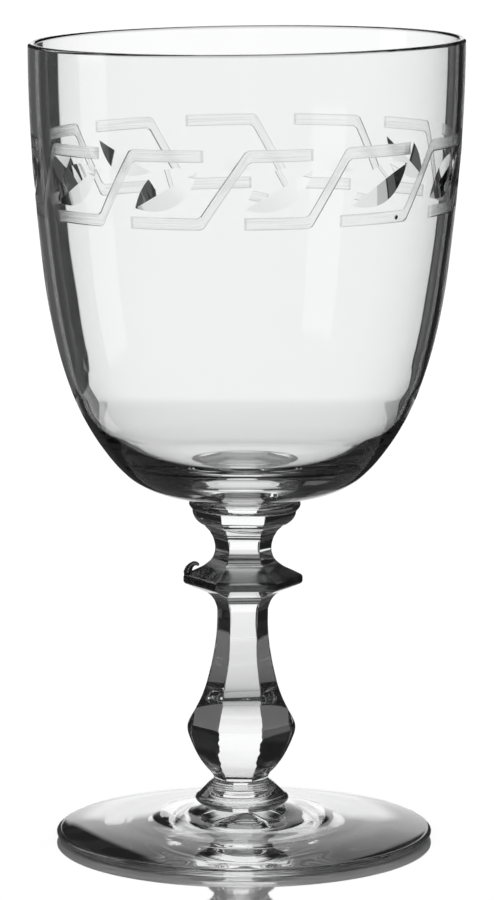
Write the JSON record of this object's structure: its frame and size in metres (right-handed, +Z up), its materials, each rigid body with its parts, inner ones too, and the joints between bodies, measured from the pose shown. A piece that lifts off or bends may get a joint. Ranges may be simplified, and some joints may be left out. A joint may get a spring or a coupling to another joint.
{
  "type": "water goblet",
  "caption": "Clear stemmed water goblet: deep rounded bowl with a cut ornament band, faceted knopped stem and round foot, for holding drinks.",
  "frame": {"origin": "centre of the standing surface under the foot, on the goblet's axis", "axes": "+Z up the axis to the mouth; +X through an edge between two stem panels, so a panel faces -Y"},
  "size_m": [0.082, 0.082, 0.152],
  "materials": {
    "bowl_glass": "clear, fire-polished, with a ground ornament band",
    "stem_glass": "clear, cut panels polished bright",
    "foot_glass": "clear, fire-polished"
  },
  "bodies": {
    "root": {"bowl": "bowl_glass", "bowl_collar": "stem_glass", "stem_knop": "stem_glass", "stem_baluster": "stem_glass", "foot_button": "stem_glass", "foot": "foot_glass"}
  },
  "joints": []
}
